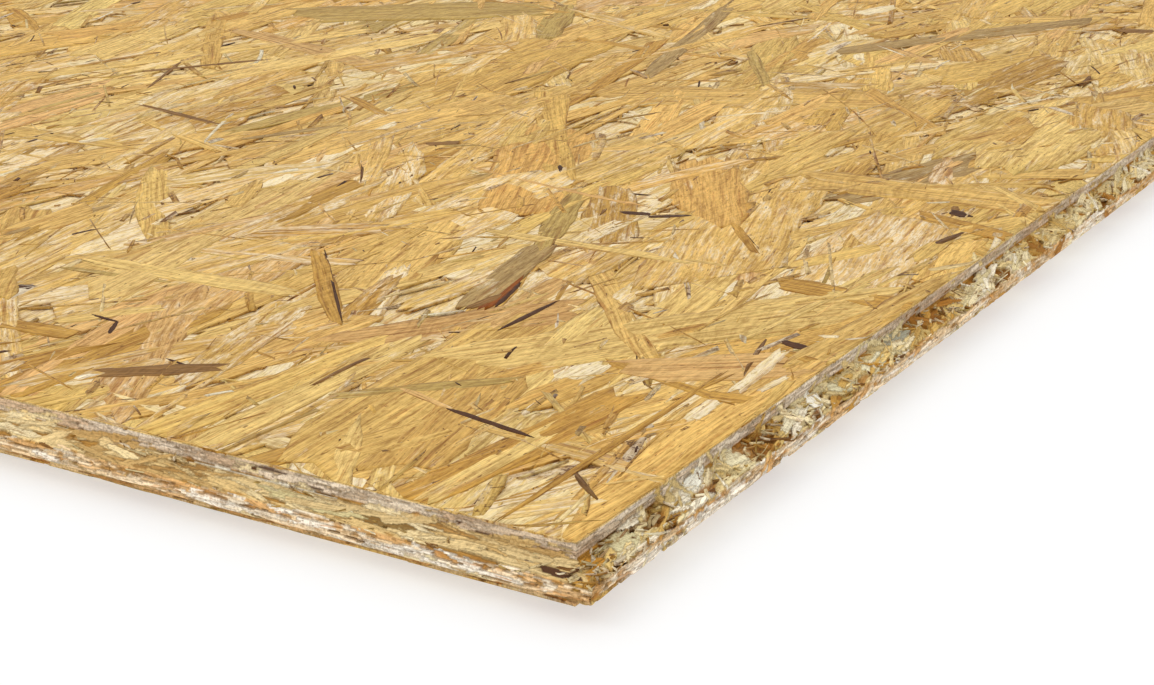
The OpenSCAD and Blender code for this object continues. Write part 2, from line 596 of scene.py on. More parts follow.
def shelfPlaces(lengths, widths, gap):
    # Strands sorted by width are laid end to end on shelves. The square's side starts at the root of their area
    order = np.argsort(-widths)
    side = 1.02 * math.sqrt(((lengths + gap) * (widths + gap)).sum())
    while True:
        places, x, y, shelf = np.zeros((len(lengths), 2)), 0.0, 0.0, 0.0
        for k in order:
            if x + lengths[k] + gap > side or shelf == 0:
                x, y, shelf = 0.0, y + shelf, widths[k] + gap
            places[k] = x, y
            x += lengths[k] + gap
        if y + shelf <= side:
            return places, side
        side *= 1.015


def subset(rows, keep):
    return {key: value[keep] for key, value in rows.items()}


def together(*tables):
    return {key: np.concatenate([t[key] for t in tables]) for key in tables[0]}


# Strands listed one by one near the corner where both tongues meet: from and to in millimetres from the face's
# corner, width in millimetres, colour, height from 0 (low) to 1 (top), taper and end skew
ownStrands = [
    (165, 165, 283, 195, 34, "gold", 0.3, 0.2, 0.2),
    (96, 95, 226, 8, 31, "straw", 0.75, 0.2, 0.5),
    (418, 222, 484, 108, 38, "gold", 0.6, 0.2, 0.2),
    (345, 93, 362, 0, 27, "gold", 0.8, 0.1, 0.2),
    (473, 418, 557, 332, 38, "olive", 0.96, 0.2, 0.2),
    (0, 190, 107, 188, 19, "tan", 0.7, 0.4, 0.2),
    (323, 71, 461, 33, 24, "grey", 0.5, 0.3, 0.4),
    (4, 182, 70, 172, 14, "cream", 0.5, 0.3, 0.3),
    (73, 173, 209, 138, 12, "straw", 0.6, 0.3, 0.4),
    (189, 58, 296, 51, 11, "cream", 0.4, 0.4, 0.6),
    (155, 238, 304, 241, 11, "rose", 0.6, 0.3, 0.2),
    (216, 256, 345, 268, 9, "cream", 0.5, 0.4, 0.3),
    (98, 103, 213, 111, 8, "rose", 0.7, 0.5, 0.4),
    (0, 118, 108, 118, 12, "straw", 0.7, 0.2, 0.2),
    (0, 47, 87, 43, 8, "straw", 0.8, 0.3, 0.2),
    (20, 81, 50, 72, 17, "gold", 0.85, 0.3, 0.2),
    (70, 61, 139, 50, 13, "honey", 0.6, 0.4, 0.4),
    (210, 132, 278, 156, 10, "olive", 0.9, 0.5, 0.1),
    (143, 120, 214, 133, 12, "grey", 0.95, 0.35, 0.1),
    (143, 115, 180, 123, 6, "knot", 0.97, 0.5, 0.0),
    (141, 119, 160, 117, 4, "brown", 1.0, 0.6, 0.0),
    (147, 112.5, 173, 118.5, 2, "bark", 1.03, 0.8, 0.0),
    (52, 110, 93, 73, 7, "olive", 0.9, 0.4, 0.3),
    (113, 254, 122, 174, 12, "straw", 0.95, 0.5, 0.3),
    (102, 253, 109, 214, 4, "olive", 0.9, 0.5, 0.0),
    (217, 157, 227, 66, 7, "straw", 0.97, 0.2, 0.1),
    (222, 47, 222, 0, 14, "tan", 0.7, 0.1, 0.1),
    (324, 40, 315, 0, 12, "tan", 0.7, 0.1, 0.1),
    (106, 146, 164, 194, 7, "tan", 1.0, 0.5, 0.0),
    (109, 146, 166, 192, 1.2, "bark", 1.05, 0.8, 0.0),
    (30, 178, 54, 151, 9, "brown", 1.0, 0.2, 0.3),
    (49, 232, 52, 206, 10, "tan", 0.9, 0.2, 0.2),
    (59, 219, 96, 195, 7, "straw", 0.9, 0.4, 0.2),
    (70, 215, 69, 203, 1.6, "bark", 1.0, 0.5, 0.0),
    (69, 203, 59, 198, 1.8, "bark", 1.0, 0.5, 0.0),
    (62, 78, 56, 46, 2.6, "bark", 1.05, 0.9, 0.0),
    (69, 99, 62, 76, 3, "rose", 1.0, 0.6, 0.0),
    (122, 58, 111, 10, 5, "tan", 0.95, 0.4, 0.2),
    (0, 24, 135, 24, 2.6, "tan", 0.95, 0.7, 0.0),
    (128, 100, 163, 99, 2.2, "bark", 0.98, 0.9, 0.0),
    (264, 130, 268, 120, 4, "bark", 0.99, 0.5, 0.2),
    (265, 119, 275, 107, 3, "bark", 0.99, 0.5, 0.2),
    (279, 100, 281, 93, 3, "bark", 0.99, 0.5, 0.2),
    (280, 94, 233, 57, 4, "tan", 0.97, 0.6, 0.0),
    (266, 80, 244, 61, 2.4, "bark", 1.0, 0.8, 0.0),
    (298, 174, 307, 180, 2, "bark", 0.98, 0.8, 0.0),
    (304, 239, 314, 230, 5, "brown", 0.98, 0.3, 0.2),
    (168, 21, 166, 11, 4.6, "bark", 1.05, 0.3, 0.4),
    (78, 252, 81, 247, 5, "bark", 0.9, 0.5, 0.4),
    (258, 168, 292, 166, 6, "cream", 0.8, 0.5, 0.4),
    (332, 409, 386, 377, 3, "brown", 0.95, 0.4, 0.1),
    (314, 386, 359, 404, 1.6, "brown", 0.95, 0.6, 0.0),
    (289, 370, 282, 325, 3.6, "brown", 0.9, 0.4, 0.0),
    (350, 306, 334, 279, 6, "tan", 0.95, 0.2, 0.3),
    (268, 303, 309, 283, 4, "grey", 0.95, 0.6, 0.0),
    (273, 314, 382, 297, 10, "olive", 0.6, 0.4, 0.3),
    (509, 285, 505, 243, 7, "tan", 0.9, 0.3, 0.1),
    (509, 229, 512, 206, 5, "tan", 0.9, 0.3, 0.1),
    (432, 267, 500, 290, 7, "rose", 0.9, 0.4, 0.1),
    (475, 171, 532, 206, 6, "olive", 0.9, 0.4, 0.1),
    (459, 222, 632, 262, 9, "grey", 0.9, 0.4, 0.1),
    (555, 172, 697, 96, 15, "grey", 0.85, 0.3, 0.2),
    (120, 293, 168, 286, 4, "grey", 0.9, 0.4, 0.1),
    (640, 197, 668, 190, 10, "cream", 0.9, 0.4, 0.4),
    (600, 269, 632, 273, 7, "cream", 0.9, 0.4, 0.4),
    (680, 76, 690, 62, 9, "brown", 0.9, 0.3, 0.4),
    (335, 30, 331, 22, 6, "bark", 0.98, 0.4, 0.4),
    (330, 27, 342, 31, 3, "brown", 0.98, 0.4, 0.4),
    (120, 14, 160, 17, 5, "cream", 0.99, 0.1, 0.3),
    (92, 15, 110, 15.5, 5, "cream", 0.99, 0.1, 0.3),
    (124, 8, 140, 6.4, 3, "cream", 0.99, 0.3, 0.3),
    (113, 19, 116, 7.5, 8, "tan", 1.0, 0.1, 0.2),
    (159, 16, 157, 6, 6, "tan", 0.97, 0.1, 0.3),
    (104, 26, 133, 21, 1.6, "tan", 1.0, 0.6, 0.0),
    (145, 23, 151, 10, 1.2, "brown", 1.0, 0.7, 0.0),
    (179, 13, 182, 8, 3, "cream", 1.0, 0.3, 0.4),
]


def ownRows(rng):
    # Rows for the listed strands, from their two ends
    ends = np.array([strand[:4] for strand in ownStrands], float) * mm
    width, colour, height, taper, skew = (np.array(column) for column in list(zip(*ownStrands))[4:])
    run = ends[:, 2:] - ends[:, :2]
    rows = drawRows(rng, faceLow + (ends[:, :2] + ends[:, 2:]) / 2, strandMix)
    rows["axes"] = flatAxes(np.arctan2(run[:, 1], run[:, 0]))
    rows["length"] = np.hypot(run[:, 0], run[:, 1])
    rows["width"], rows["taper"], rows["skew"] = width * mm, taper, skew
    rows["tint"] = tintTable[[tintNames.index(name) for name in colour]]
    rows["level"] = thick - 0.00025 + 0.0002 * height
    rows["bend"] = 0 * rows["bend"]
    rows["lean"] = rows["lean"] * 0.2
    # the listed cream strands get all the cream of torn fibres and painted sheen
    rows["habit"][:, 0] = np.where(colour == "cream", 1.0, 0.35 * rows["habit"][:, 0])
    return rows


def clustered(rng, centres):
    # Keeps the centres where soft noise is high, so that crumbs lie in drifts
    flat = np.column_stack([centres, np.zeros(len(centres))])
    drift = softNoise(flat, (0.045, 0.022, 1), 31)
    return centres[drift > rng.uniform(0.35, 0.85, len(centres))]


laying = {
    "columns": 6,  # tiles along the board and across it
    "lines": 2,
    "overrun": 0.045,  # strands are also laid this far past the face, and cut off
    "meanArea": 0.00172,
    "slivers": 3000,  # in the fine columns, then in the rest, then on the underside
    "farSlivers": 2400,
    "underSlivers": 900,
    "crumbs": 8000,
    "underShare": 0.55,
    "cut": (0.00022, 0.00036),  # how far inside the face's rim the strands are cut
    "short": 0.007,
}


def laidStrands(rng, share):
    # All of a face's strands. The first ones lie lowest and are the palest.
    first, last = faceLow - laying["overrun"], faceHigh + laying["overrun"]
    n = int(strandMix["cover"] * np.prod(last - first) / laying["meanArea"] * share)
    rows = drawRows(rng, gridCentres(rng, first, last, n), strandMix)
    n = len(rows["length"])
    rank = (np.arange(n) + 0.5) / n
    deepest, highest = strandMix["step"]
    rows["level"] = thick - deepest + (deepest - highest) * rank
    low = rank < strandMix["lowest"]
    pale = tintTable[drawTints(rng, strandMix["lowShare"], n)] * np.exp(0.05 * rng.standard_normal((n, 1)))
    rows["tint"] = np.where(low[:, None], pale, rows["tint"])
    rows["habit"][:, 0] = np.where(low, 0.4 + 0.6 * rng.random(n), rows["habit"][:, 0])
    # the board's near end is the most handled and torn, and gets the most painted sheen
    centre = rows["centre"][:, :2]
    rows["habit"][:, 0] *= 1 - 0.5 * smoothStep(0.35, 0.9, np.hypot(*(centre - faceLow).T))
    along, across = np.abs(rows["axes"][:, 0, :2]), np.abs(rows["axes"][:, 1, :2])
    reach = 0.5 * (along * rows["length"][:, None] + across * rows["width"][:, None])
    inside = ((centre + reach > faceLow + 0.002) & (centre - reach < faceHigh - 0.002)).all(1)
    return subset(rows, inside)


def laidSlivers(rng, under, fineEdge):
    # Slivers and crumbs, closely in the fine columns and thinly elsewhere
    far = laying["underSlivers" if under else "farSlivers"]
    tables = [drawRows(rng, gridCentres(rng, (fineEdge, faceLow[1]), faceHigh, far), sliverMix)]
    if not under:
        fineCorner = (fineEdge, faceHigh[1])
        tables.append(drawRows(rng, gridCentres(rng, faceLow, fineCorner, laying["slivers"]), sliverMix))
        drifts = clustered(rng, gridCentres(rng, faceLow, fineCorner, laying["crumbs"]))
        tables.append(drawRows(rng, drifts, crumbMix))
    rows = together(*tables)
    deepest, highest = sliverMix["step"]
    rows["level"] = thick - deepest + (deepest - highest) * rng.random(len(rows["length"]))
    return rows


def turnedOver(batch):
    # The underside is the same kind of layer, mirrored in the middle plane, with each face's corners reversed
    batch["points"] = batch["points"] * (1, 1, -1) + (0, 0, thick)
    last = np.repeat(np.cumsum(batch["sizes"]), batch["sizes"]) - 1
    first = np.repeat(np.cumsum(batch["sizes"]) - batch["sizes"], batch["sizes"])
    reverse = last - (np.arange(len(last)) - first)
    for key in ("corners", "grain", "OFBake"):
        batch[key] = batch[key][reverse]
    return batch


def layFace(rng, name, under, fineColumns):
    # Covers one face in tiles, each a piece of its own. Grids have more points where a shape is big or near.
    spans = (faceHigh - faceLow) / (laying["columns"], laying["lines"])
    fineEdge = faceLow[0] + fineColumns * spans[0]
    tables = [laidStrands(rng, laying["underShare"] if under else 1), laidSlivers(rng, under, fineEdge)]
    if not under:
        tables.append(ownRows(rng))
    for table in tables:
        table["cut"] = rng.uniform(*laying["cut"], len(table["length"]))
    everything = together(*tables)
    kind = np.repeat(np.arange(len(tables)), [len(table["length"]) for table in tables])
    kind = np.where((kind == 1) & (everything["length"] < laying["short"]), 3, kind)
    tile = ((everything["centre"][:, :2] - faceLow) // spans).astype(int)
    tile = np.clip(tile, 0, (laying["columns"] - 1, laying["lines"] - 1))
    faceBox = ((*faceLow, 0.0), (*faceHigh, thick - 0.00001))
    for i, j in np.ndindex(laying["columns"], laying["lines"]):
        own = np.flatnonzero((tile[:, 0] == i) & (tile[:, 1] == j))
        rows = subset(everything, own)
        rows["place"], side = shelfPlaces(rows["length"] * 1.1, rows["width"] * 1.6, 0.0008)
        # points along and across, for strands, slivers, listed strands and short slivers
        grids = ((11, 5), (5, 2), (17, 5), (3, 2)) if i < fineColumns else ((6, 3), (3, 2), (17, 5), (3, 2))
        parts = [(subset(rows, kind[own] == which), *grid) for which, grid in enumerate(grids)]
        batch = joined([cutStrands(part, a, b, faceBox) for part, a, b in parts if len(part["length"])])
        batch["OFBake"] = batch["OFBake"] / side
        makePiece(f"{name}_{i}_{j}", turnedOver(batch) if under else batch, pressedStrand)
    print(name, "laid", np.bincount(kind))


rng = np.random.default_rng(18)
layFace(rng, "upperStrands", False, 2)
layFace(rng, "lowerStrands", True, 0)

matLook = {"inset": 0.0125, "below": 0.00078, "cell": 0.026}


def makeMat(s):
    # A closed slab under the strands. Its two faces are grids over the board, at the face less below less a
    # little noise, and its sides are straight.
    spans = [(low[k] + s["inset"], high[k] - s["inset"], round((high[k] - low[k]) / s["cell"])) for k in (0, 1)]
    gx, gy = np.meshgrid(*(np.linspace(*span) for span in spans), indexing="ij")
    dip = s["below"] + 0.0003 * softNoise(np.stack([gx, gy, 0 * gx], -1), (0.03, 0.014, 1), 4)
    points = np.concatenate([np.stack([gx, gy, z], -1).reshape(-1, 3) for z in (thick - dip, dip)])
    quads, loop = gridFaces(*gx.shape)
    sides = np.stack([loop + gx.size, np.roll(loop, -1) + gx.size, np.roll(loop, -1), loop], -1)
    corners = np.concatenate([quads, quads[:, ::-1] + gx.size, sides]).ravel()
    batch = {
        "points": points,
        "corners": corners,
        "sizes": np.full(len(corners) // 4, 4),
        "smooth": np.ones(len(corners) // 4, bool),
        "grain": points[corners, :2],
        "tint": np.tile(linear(tints["straw"]), (len(points), 1)),
        # the mat gets much of the cream of torn fibres and painted sheen
        "habit": np.tile((0.8, 0.3, 0.3), (len(points), 1)),
        "depth": np.full((len(points), 3), 9.0),
    }
    return makePiece("pressedMat", batch, pressedStrand)


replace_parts(makeMat(matLook), "panel")
print("mat made")

milling = {
    "back": 0.0160,
    "backInset": 0.0012,
    "topLedge": 0.00022,
    "nearLeft": 0.215,
    "nearRight": 0.560,
    "sharpRight": 0.290,
    "step": 0.0006,
    "midStep": 0.0010,
    "farStep": 0.0050,
}


def tongueInset(z):
    # Straight lines between the profile's corners, as inset from the board's overall edge at each height
    out, bevel = board["tongueOut"], board["bevel"]
    shoulder = noseHalf + (rootHalf - noseHalf) * bevel / out
    below = [0, mid - rootHalf, mid - shoulder, mid - noseHalf + bevel]
    above = [mid + noseHalf - bevel, mid + shoulder, mid + rootHalf, thick]
    return np.interp(z, below + above, [out, out, bevel, 0, 0, bevel, out, out])


def grooveInset(z):
    at = [0, mid - mouthHalf, mid - floorHalf, mid + floorHalf, mid + mouthHalf, thick]
    return np.interp(z, at, np.array([0, 0, 1, 1, 0, 0]) * board["grooveDeep"])


def heights(fine, groove):
    # Heights down the profile, closer on the sloping flanks, where a little height is a long way
    half, flat = (mouthHalf, floorHalf) if groove else (rootHalf, noseHalf + 0.00012)
    k = 1 if fine else 0.5
    cheek = np.linspace(thick - milling["topLedge"], mid + half, max(4, round(10 * k)))
    flank = np.linspace(mid + half, mid + flat, max(6, round(22 * k)))[1:]
    nose = np.linspace(mid + flat, mid, max(3, round(7 * k)))[1:]
    down = np.concatenate([cheek, flank, nose])
    return np.concatenate([down, thick - down[-2::-1]])


# What the cutter leaves on each band of the profile. Chips are blunt ovals: half length, half width and level
# in millimetres, turn in degrees, and between them the surface is torn away to floor. Tints go from dark to pale.
chipKinds = {
    "cheek": {
        "half": ((2, 11), (0.35, 1.1)), "turn": 4, "level": (0.0, 0.2), "cover": 2.0, "floor": 0.25, "tilt": 0,
        "torn": (194, 170, 138),
        "tints": ((210, 182, 150), (216, 194, 166), (224, 204, 178), (230, 212, 188), (238, 222, 198)),
    },
    "longFlank": {
        "half": ((2.5, 12), (0.7, 2.8)), "turn": 26, "level": (0.02, 0.75), "cover": 3.4,
        "floor": 1.2, "tilt": 0.16,
        "torn": (184, 130, 48),
        "tints": ((164, 110, 40), (188, 140, 62), (206, 166, 90), (218, 186, 116), (210, 186, 130),
                  (228, 202, 142), (226, 208, 158), (236, 218, 174), (244, 232, 204)),
    },
    "shortFlank": {
        "half": ((3, 18), (0.7, 2.6)), "turn": 15, "level": (0.02, 0.45), "cover": 3.4,
        "floor": 0.7, "tilt": 0.06,
        "torn": (180, 134, 66),
        "tints": ((180, 138, 78), (200, 164, 104), (214, 182, 122), (222, 194, 138), (230, 206, 154),
                  (238, 218, 172)),
    },
    "nose": {
        "half": ((2, 15), (0.3, 1.1)), "turn": 5, "level": (0.0, 0.5), "cover": 2.6, "floor": 0.9, "tilt": 0,
        "torn": (218, 170, 110),
        "tints": ((224, 182, 128), (236, 204, 158), (243, 217, 178), (248, 229, 198), (252, 239, 217)),
    },
    "lowCheek": {
        "half": ((2, 14), (0.4, 1.2)), "turn": 4, "level": (0.0, 0.25), "cover": 1.8, "floor": 0.4, "tilt": 0,
        "torn": (190, 132, 72),
        "tints": ((200, 148, 88), (212, 162, 100), (226, 184, 128), (234, 202, 150)),
    },
}
tornTint = linear((190, 136, 60))
# Chips listed one by one on the upper flank: side, millimetres from the board's corner, share of the way from the
# tongue's root to its nose, half length, half width, turn, level and colour
ownChips = [
    ("longTongue", 64, 0.12, 6.5, 2.6, -12, -0.25, (244, 240, 222)),
    ("longTongue", 66, 0.74, 5.5, 1.1, 10, -0.05, (104, 66, 30)),
    ("longTongue", 89, 0.30, 9.0, 3.2, 6, -0.10, (230, 218, 178)),
    ("longTongue", 124, 0.38, 8.0, 2.4, -14, -0.10, (232, 220, 184)),
    ("longTongue", 141, 0.32, 4.5, 3.4, 50, -0.30, (244, 238, 220)),
    ("longTongue", 160, 0.45, 10.0, 3.6, 8, 0.0, (214, 204, 164)),
    ("longTongue", 206, 0.22, 10.0, 2.6, 4, -0.05, (160, 156, 134)),
    ("longTongue", 188, 0.45, 12.0, 3.4, -6, 0.0, (228, 218, 180)),
    ("longTongue", 20, 0.45, 9.0, 3.8, 10, 0.05, (214, 202, 156)),
    ("shortTongue", 8, 0.74, 6.8, 1.5, 3, -0.35, (84, 54, 34)),
    ("shortTongue", 60, 0.52, 16.0, 1.7, -5, 0.05, (142, 112, 62)),
    ("shortTongue", 96, 0.04, 26.0, 0.45, 0, -0.02, (238, 228, 204)),
    ("shortTongue", 94, -0.31, 5.0, 0.35, 0, -0.05, (104, 80, 68)),
    ("shortTongue", 100, -0.22, 1.0, 0.45, 0, -0.05, (96, 62, 38)),
    ("shortTongue", 79, -0.09, 2.2, 0.3, 0, -0.05, (120, 92, 70)),
    ("shortTongue", 35, -0.18, 1.1, 0.5, 0, -0.05, (92, 58, 34)),
    ("shortTongue", 28, -0.06, 2.6, 0.3, 0, -0.05, (98, 72, 60)),
    ("shortTongue", 84, 0.5, 20.0, 2.6, 4, 0.0, (206, 190, 138)),
]
# Places torn out, listed the same way: side, millimetres along, share, half length, half width and depth
ownTears = [
    ("longTongue", 103, 0.45, 12, 4.4, 2.2),
    ("longTongue", 95, 0.10, 8, 1.4, 1.6),
    ("longTongue", 139, 0.78, 4.0, 1.6, 2.2),
    ("longTongue", 174, 0.78, 5.5, 1.8, 1.9),
    ("longTongue", 66, 0.60, 8, 1.2, 1.7),
    ("longTongue", 38, 0.42, 7, 2.2, 1.9),
    ("longTongue", 41, 0.06, 3.0, 0.8, 1.6),
    ("longTongue", 236, 0.5, 6, 1.5, 1.7),
    ("shortTongue", 122, 0.02, 1.6, 0.8, 1.6),
    ("shortTongue", 48, -0.1, 1.2, 0.5, 1.0),
    ("longTongue", 1, 1.35, 3, 1.4, 1.5),
    ("longTongue", 16, 1.40, 7, 1.2, 1.0),
    ("shortTongue", 1, 1.35, 3, 1.2, 1.4),
]


def ragged(run, girth, cell, seed):
    # Soft noise over the unrolled edge, from -0.5 to 0.5
    flat = np.stack(np.broadcast_arrays(run[:, None], girth[None], 0.0), -1)
    return softNoise(flat, (cell, cell * 0.6, 1), seed) - 0.5


def layChip(sheet, place, half, turn, level, tilt, phase, tint):
    # One blunt oval: inside where (p / half length)^2 + (q / half width)^2 < 1 + waves round the rim + noise.
    # Its surface is level + tilt, rolled off near the rim, and it shows where it is the highest yet.
    run, girth = sheet["run"], sheet["girth"]
    reach = max(half) * 1.5
    i0, i1 = np.searchsorted(run, (place[0] - reach, place[0] + reach))
    j0, j1 = np.searchsorted(girth, (place[1] - reach, place[1] + reach))
    if i1 - i0 < 1 or j1 - j0 < 1:
        return
    du, dv = run[i0:i1, None] - place[0], girth[None, j0:j1] - place[1]
    c, s = math.cos(turn), math.sin(turn)
    along, across = du * c + dv * s, dv * c - du * s
    p, q = along / half[0], across / half[1]
    angle, noise = np.arctan2(q, p), sheet["ragged"][i0:i1, j0:j1]
    rim = 1 + 0.22 * np.sin(3 * angle + phase[0]) + 0.16 * np.sin(5 * angle + phase[1]) + 0.6 * noise
    e = (p * p + q * q) / np.maximum(rim, 0.1)
    lift = tilt[0] * p * half[1] + tilt[1] * q * half[1]
    h = lift - level - 0.00016 * smoothStep(0.55, 1.0, e) + 0.0001 * noise
    wins = (e < 1) & (h > sheet["height"][i0:i1, j0:j1])
    way = np.stack([along, across, np.full(h.shape, 9 * phase[0])], -1)
    for key, value in (("height", h), ("way", way), ("tint", np.broadcast_to(tint, way.shape))):
        sheet[key][i0:i1, j0:j1][wins] = value[wins]


def tearOut(sheet, place, half, deep):
    # A hollow with soft sides: inside where (du / half length)^2 + (dv / half width)^2 + noise < 1.25
    du, dv = sheet["run"][:, None] - place[0], sheet["girth"][None] - place[1]
    away = (du / half[0]) ** 2 + (dv / half[1]) ** 2
    pull = smoothStep(1.25, 0.35, away + 1.6 * sheet["ragged"])
    sheet["height"] -= pull * deep * (0.75 + 0.8 * sheet["ragged"])
    sheet["tint"] += (tornTint - sheet["tint"]) * (pull * 0.75)[..., None]


def layBand(rng, sheet, kind, first, last, g0, g1, scale, seed):
    # Tears one band down to its floor, and then lays its chips
    run, girth = sheet["run"], sheet["girth"]
    inRun, inBand = (run >= first) & (run <= last), (girth >= g0) & (girth <= g1)
    rough = 0.65 + 0.9 * (ragged(run[inRun], girth[inBand], 0.009, seed + 2) + 0.5)
    sheet["floor"][np.ix_(inRun, inBand)] = kind["floor"] * mm * rough
    sheet["tint"][np.ix_(inRun, inBand)] = linear(kind["torn"])
    lengths, widths = kind["half"]
    meanArea = math.pi * 0.25 * sum(lengths) * sum(widths) * 1e-6 * scale**2
    palest = len(kind["tints"]) - 1
    for _ in range(int(kind["cover"] * (last - first) * (g1 - g0) / meanArea)):
        place = rng.uniform(first, last), rng.uniform(g0, g1)
        i, j = (min(np.searchsorted(axis, at), len(axis) - 1) for axis, at in zip((run, girth), place))
        mood = sheet["mood"][i, j]
        level = rng.uniform(*kind["level"]) ** 1.5 * mm * (1.6 - 1.2 * np.clip(mood, 0, 1))
        shade = int(np.clip(round(mood * palest + 1.1 * rng.standard_normal()), 0, palest))
        half = [rng.uniform(*limits) * mm * scale for limits in kind["half"]]
        turn = math.radians(kind["turn"]) * rng.standard_normal()
        tilt, phase = kind["tilt"] * rng.standard_normal(2), rng.uniform(0, 6.283, 2)
        tint = linear(kind["tints"][shade]) * math.exp(0.05 * rng.standard_normal())
        layChip(sheet, place, half, turn, level, tilt, phase, tint)


def layOwn(rng, sheet, side, first, last, root, nose):
    # The listed chips and tears on one side, with small tears along the tongue's lip
    def placeOf(distance, share):
        along = first + distance * mm if side == "longTongue" else last - distance * mm
        return along, root + share * (nose - root)

    for chipSide, distance, share, halfLong, halfWide, turn, level, colour in ownChips:
        if chipSide == side:
            half, phase = (halfLong * mm, halfWide * mm), (distance % 6.2, share * 6)
            place, tint = placeOf(distance, share), linear(colour)
            layChip(sheet, place, half, math.radians(turn), level * mm, (0, 0), phase, tint)
    lip = np.arange(3, (last - first) * 1000, 5.5) + rng.uniform(-3, 3)
    ranges = ((0.9, 1.25), (0.8, 4), (0.3, 0.9), (0.3, 0.9))
    small = [(side, distance, *(rng.uniform(*limits) for limits in ranges)) for distance in lip]
    for tearSide, distance, share, halfLong, halfWide, deep in ownTears + small:
        if tearSide == side:
            tearOut(sheet, placeOf(distance, share), (halfLong * mm, halfWide * mm), deep * mm)


def chipSheet(rng, run, girth, inset, z, sides, fine, seed):
    # The unrolled edge, one value for each column and row: tint, way along the grain, depth below the profile
    shape, scale = (len(run), len(girth)), 1.0 if fine else 2.2
    sheet = {
        "run": run,
        "girth": girth,
        "height": np.full(shape, -1.0),
        "tint": np.zeros((*shape, 3)),
        "way": np.stack([*np.meshgrid(run, girth, indexing="ij"), np.zeros(shape)], -1),
        "floor": np.full(shape, 0.0003),
        "ragged": 0.6 * ragged(run, girth, 0.0016 * scale, seed)
        + 0.4 * ragged(run, girth, 0.004 * scale, seed + 1),
        # the mood of a place, from 0 to 1: low is dark and torn, high is pale and smooth
        "mood": 0.47 + 1.3 * ragged(run, girth, 0.016 * scale, seed + 3),
    }
    bends = np.array([-rootHalf, -noseHalf, noseHalf, rootHalf]) - mid
    marks = [0.0, *np.interp(bends, -z, girth), girth[-1]]
    for side, first, last in sides:
        flank = "shortFlank" if side.startswith("short") else "longFlank"
        for name, g0, g1 in zip(("cheek", flank, "nose", flank, "lowCheek"), marks, marks[1:]):
            layBand(rng, sheet, chipKinds[name], first, last, g0, g1, scale, seed)
        if fine and side.endswith("Tongue"):
            layOwn(rng, sheet, side, first, last, marks[1], marks[2])
    depth = -np.maximum(sheet["height"], -sheet["floor"])
    # the tongue keeps most of its thickness, and so does the board's top edge
    depth = np.clip(depth, 0, 0.36 * 2 * np.maximum(np.abs(z - mid), 0.0012)[None])
    depth = np.clip(depth, 0, np.where(inset > 0.9 * board["tongueOut"], 0.0012, 0.01)[None])
    return sheet["tint"], sheet["way"], depth


def edgeColumns(stretch, size, tIn, gIn):
    # Each column's side, its share of the way along, its points on the profile, and the way out of the board
    columns = []
    for side, start, stop, step in stretch:
        count = max(2, round(abs(stop - start) / step) + 1)
        # a new side starts with the mitre that the last one ended with
        shared = bool(columns) and columns[-1][0] != side
        columns += [(side, s) for s in np.linspace(start, stop, count)[shared:]]
    side, s = (np.array(values) for values in zip(*columns))
    xa, xb, ya, yb = low[0] + tIn, high[0] - gIn, low[1] + tIn, high[1] - gIn
    fx, fy = s / size[0], s / size[1]
    alongX, alongY = xa + (xb - xa) * fx[:, None], ya + (yb - ya) * fy[:, None]
    spots = {
        "longTongue": (alongX, ya, 0, -1),
        "longGroove": (alongX, yb, 0, 1),
        "shortTongue": (xa, alongY, -1, 0),
        "shortGroove": (xb, alongY, 1, 0),
    }
    spot = np.zeros((4, len(s), len(tIn)))
    for label, values in spots.items():
        for target, value in zip(spot, values):
            target[side == label] = np.broadcast_to(value, target.shape)[side == label]
    spot[2:, (s == 0) & (len(set(side)) > 1)] = -1
    return side, fx, fy, spot


def stripMap(run, ring, turned):
    # The bake's map of a bar: its run is cut into strips that lie side by side
    c, r = ring.shape[:2]
    girth = runningSum(np.linalg.norm(np.diff(ring[c // 2], axis=0), axis=1))
    girth = np.append(girth, girth[-1] + milling["back"])
    strips = max(1, round(math.sqrt(run[-1] / girth[-1])))
    stripRun, pitch = run[-1] / strips * 1.0001, girth[-1] + 0.001
    strip = np.minimum(0.5 * (run[:-1] + run[1:]) // stripRun, strips - 1)
    i, j = np.repeat(np.arange(c - 1), r), np.tile(np.arange(r), c - 1)
    u = run[np.stack([i, i + 1, i + 1, i], -1)] - (strip[i] * stripRun)[:, None]
    v = girth[np.stack([j, j, j + 1, j + 1], -1)] + (strip[i] * pitch)[:, None]
    places = np.stack([u, v], -1) / max(stripRun * 1.02, strips * pitch)
    return np.concatenate([(places[:, ::-1] if turned else places).reshape(-1, 2), np.full((2 * r, 2), 0.999)])


